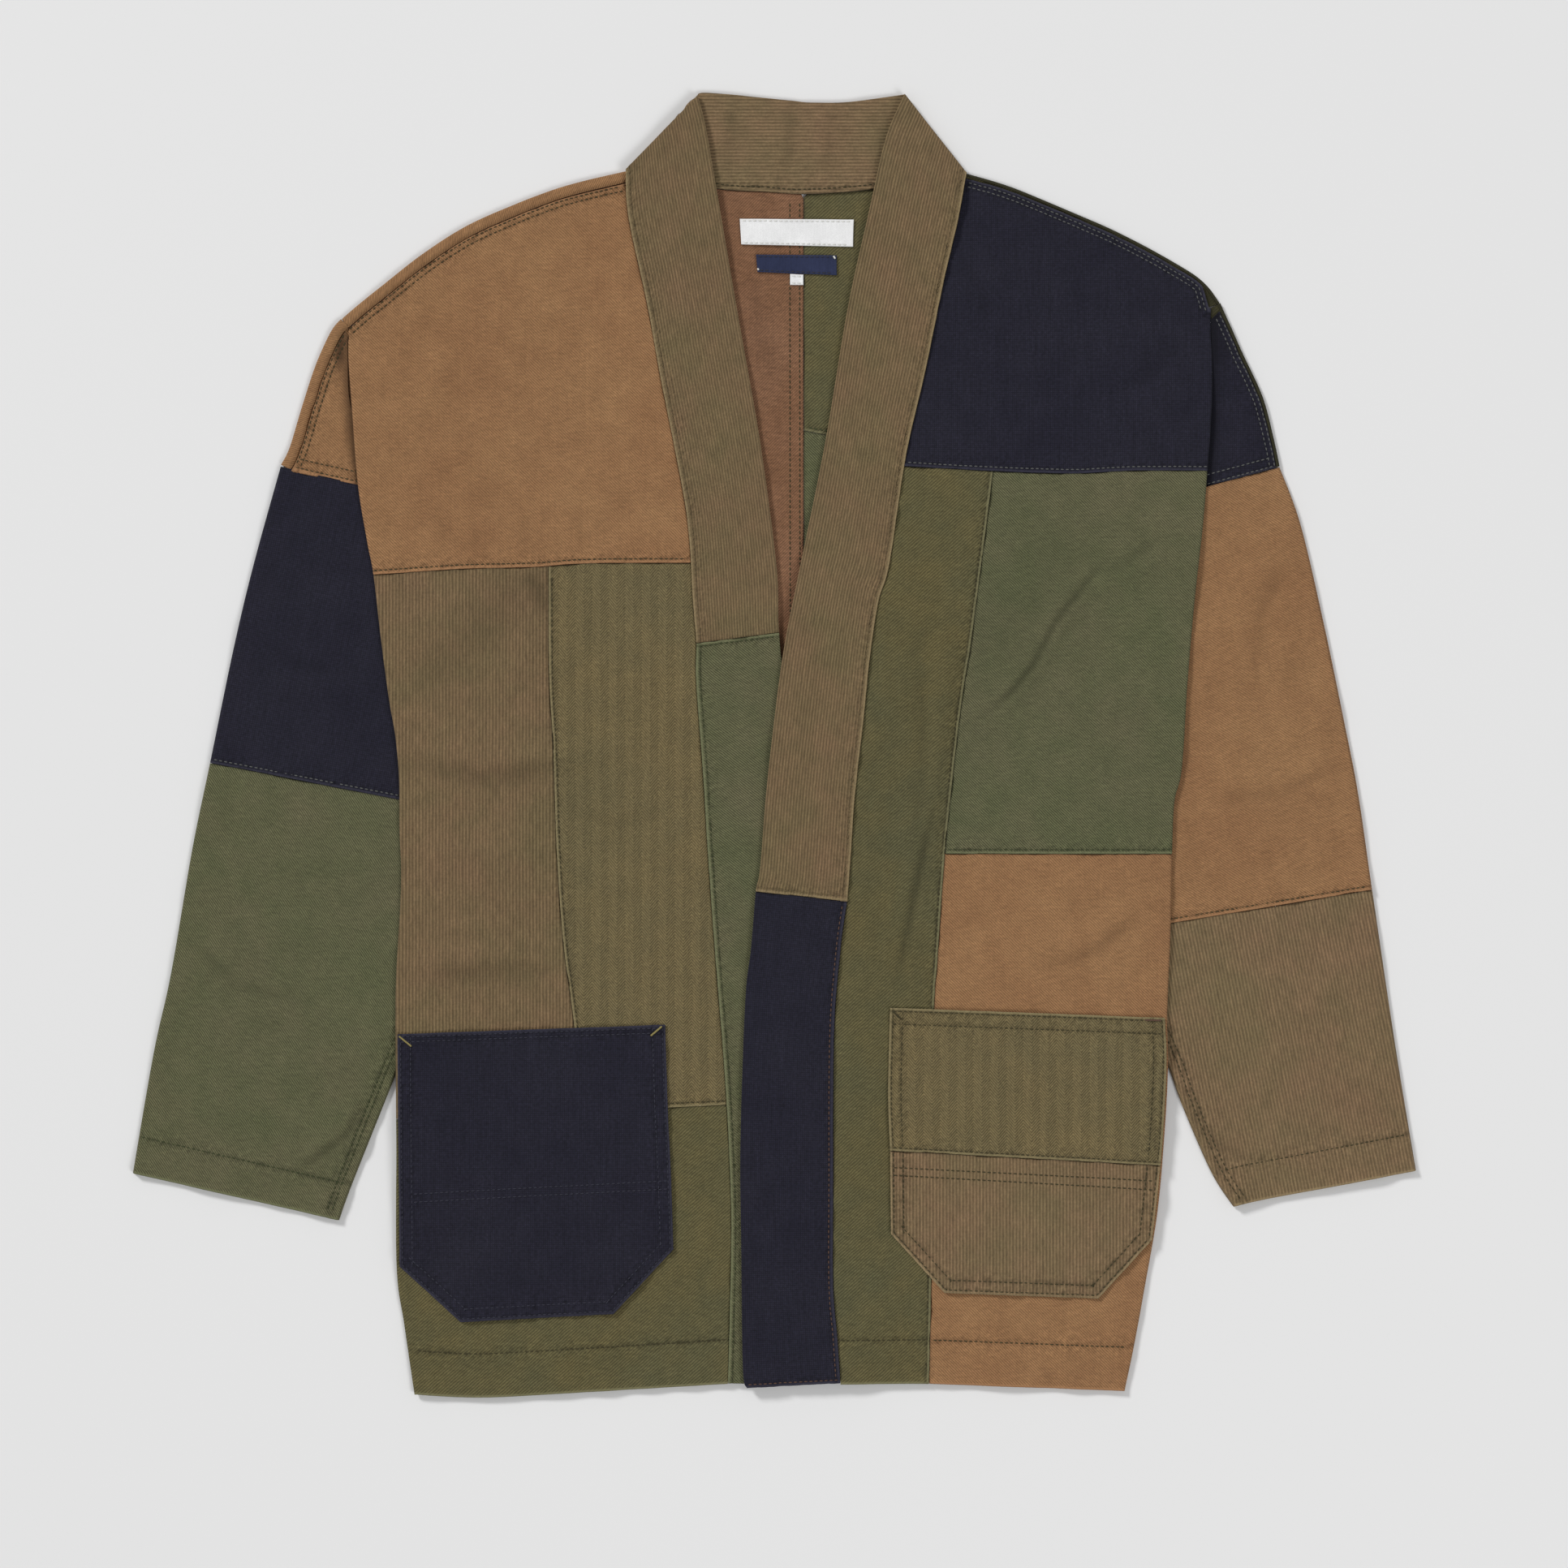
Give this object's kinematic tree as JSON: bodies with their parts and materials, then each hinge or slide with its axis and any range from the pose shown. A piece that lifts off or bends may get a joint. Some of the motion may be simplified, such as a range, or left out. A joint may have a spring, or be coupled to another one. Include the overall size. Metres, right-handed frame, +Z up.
{
  "type": "patchwork kimono jacket, laid flat",
  "caption": "Patchwork cotton jacket in kimono cut, laid flat: brown, navy, sage and olive panels, ribbed front bands, patch pockets.",
  "frame": {"origin": "On the surface that the jacket lies on, under the middle of its whole outline.", "axes": "+X to the right as the jacket lies front up, +Y to the collar, +Z up from the surface."},
  "size_m": [0.7896, 0.8023, 0.008],
  "materials": {
    "brown_twill": "matt garment-dyed cotton twill",
    "navy_cloth": "matt dark cotton cloth",
    "sage_cloth": "matt cotton satin-back cloth",
    "olive_twill": "matt coarse cotton twill",
    "herringbone_cloth": "matt cotton herringbone",
    "ribbed_cloth": "matt corded cotton, fine ribs",
    "white_label": "woven label, bare",
    "blue_label": "woven label, bare"
  },
  "bodies": {
    "root": {"front_left_yoke": "brown_twill", "front_left_wing": "brown_twill", "front_left_rib": "ribbed_cloth", "front_left_herringbone": "herringbone_cloth", "front_left_lower": "olive_twill", "front_right_yoke": "navy_cloth", "front_right_wing": "navy_cloth", "front_right_column": "olive_twill", "front_right_chest": "sage_cloth", "front_right_lower": "brown_twill", "back_left": "brown_twill", "back_left_wing": "brown_twill", "back_right_upper": "olive_twill", "back_right_wing": "olive_twill", "back_right_lower": "sage_cloth", "sleeve_left_upper": "navy_cloth", "sleeve_left_lower": "sage_cloth", "sleeve_right_upper": "brown_twill", "sleeve_right_lower": "ribbed_cloth", "band_left_upper": "ribbed_cloth", "band_left_lower": "sage_cloth", "band_right_upper": "ribbed_cloth", "band_right_lower": "navy_cloth", "collar_back": "ribbed_cloth", "pocket_left": "navy_cloth", "pocket_right_upper": "herringbone_cloth", "pocket_right_lower": "ribbed_cloth", "label_main": "white_label", "label_small": "blue_label", "size_tab": "white_label"}
  },
  "joints": []
}
